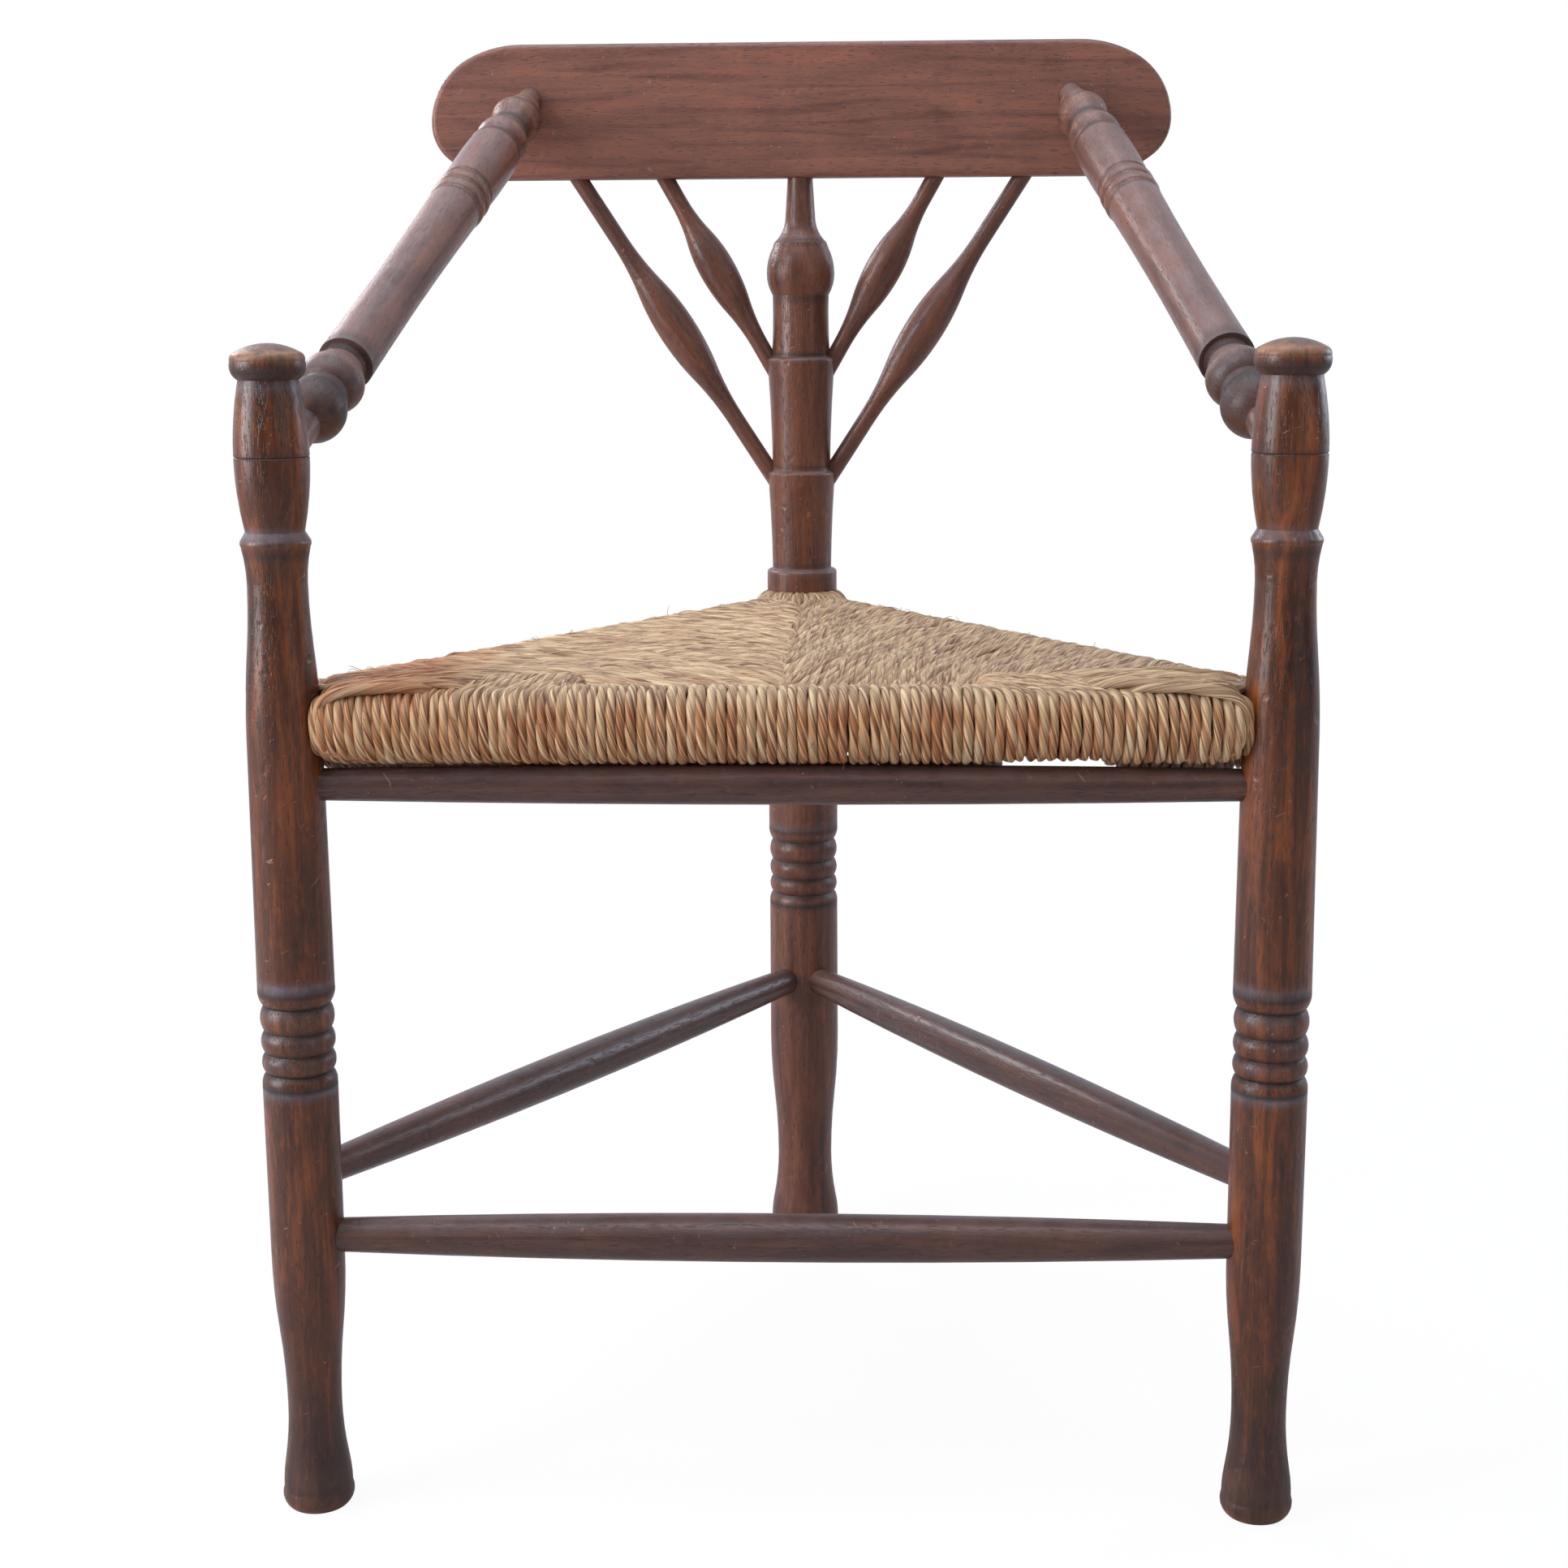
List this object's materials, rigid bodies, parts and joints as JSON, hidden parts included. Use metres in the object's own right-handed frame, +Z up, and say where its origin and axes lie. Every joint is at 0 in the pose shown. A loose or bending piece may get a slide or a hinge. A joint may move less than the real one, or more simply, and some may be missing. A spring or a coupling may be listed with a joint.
{
  "type": "corner chair",
  "caption": "Three-legged turned corner chair with a triangular rush seat, a curved-end crest board, sloping turned arms and fanned bulb spindles.",
  "frame": {"origin": "middle of the chair's footprint on the floor", "axes": "+X to the right of the picture, +Y from the front rail to the back post, +Z up"},
  "size_m": [0.5396, 0.4421, 0.7908],
  "materials": {
    "post_wood": "stained and waxed, satin",
    "crest_wood": "stained and waxed, satin",
    "arm_wood": "stained and waxed, worn satin",
    "spindle_wood": "stained and waxed, satin",
    "rail_wood": "stained and waxed, satin",
    "rush": "twisted dry rush, matt"
  },
  "bodies": {
    "root": {"front_left_post": "post_wood", "front_right_post": "post_wood", "back_post": "post_wood", "crest_rail": "crest_wood", "left_arm": "arm_wood", "right_arm": "arm_wood", "outer_left_spindle": "spindle_wood", "inner_left_spindle": "spindle_wood", "inner_right_spindle": "spindle_wood", "outer_right_spindle": "spindle_wood", "front_seat_rail": "rail_wood", "left_seat_rail": "rail_wood", "right_seat_rail": "rail_wood", "front_apron_rail": "rail_wood", "front_stretcher": "rail_wood", "left_stretcher": "rail_wood", "right_stretcher": "rail_wood", "rush_seat": "rush"}
  },
  "joints": []
}
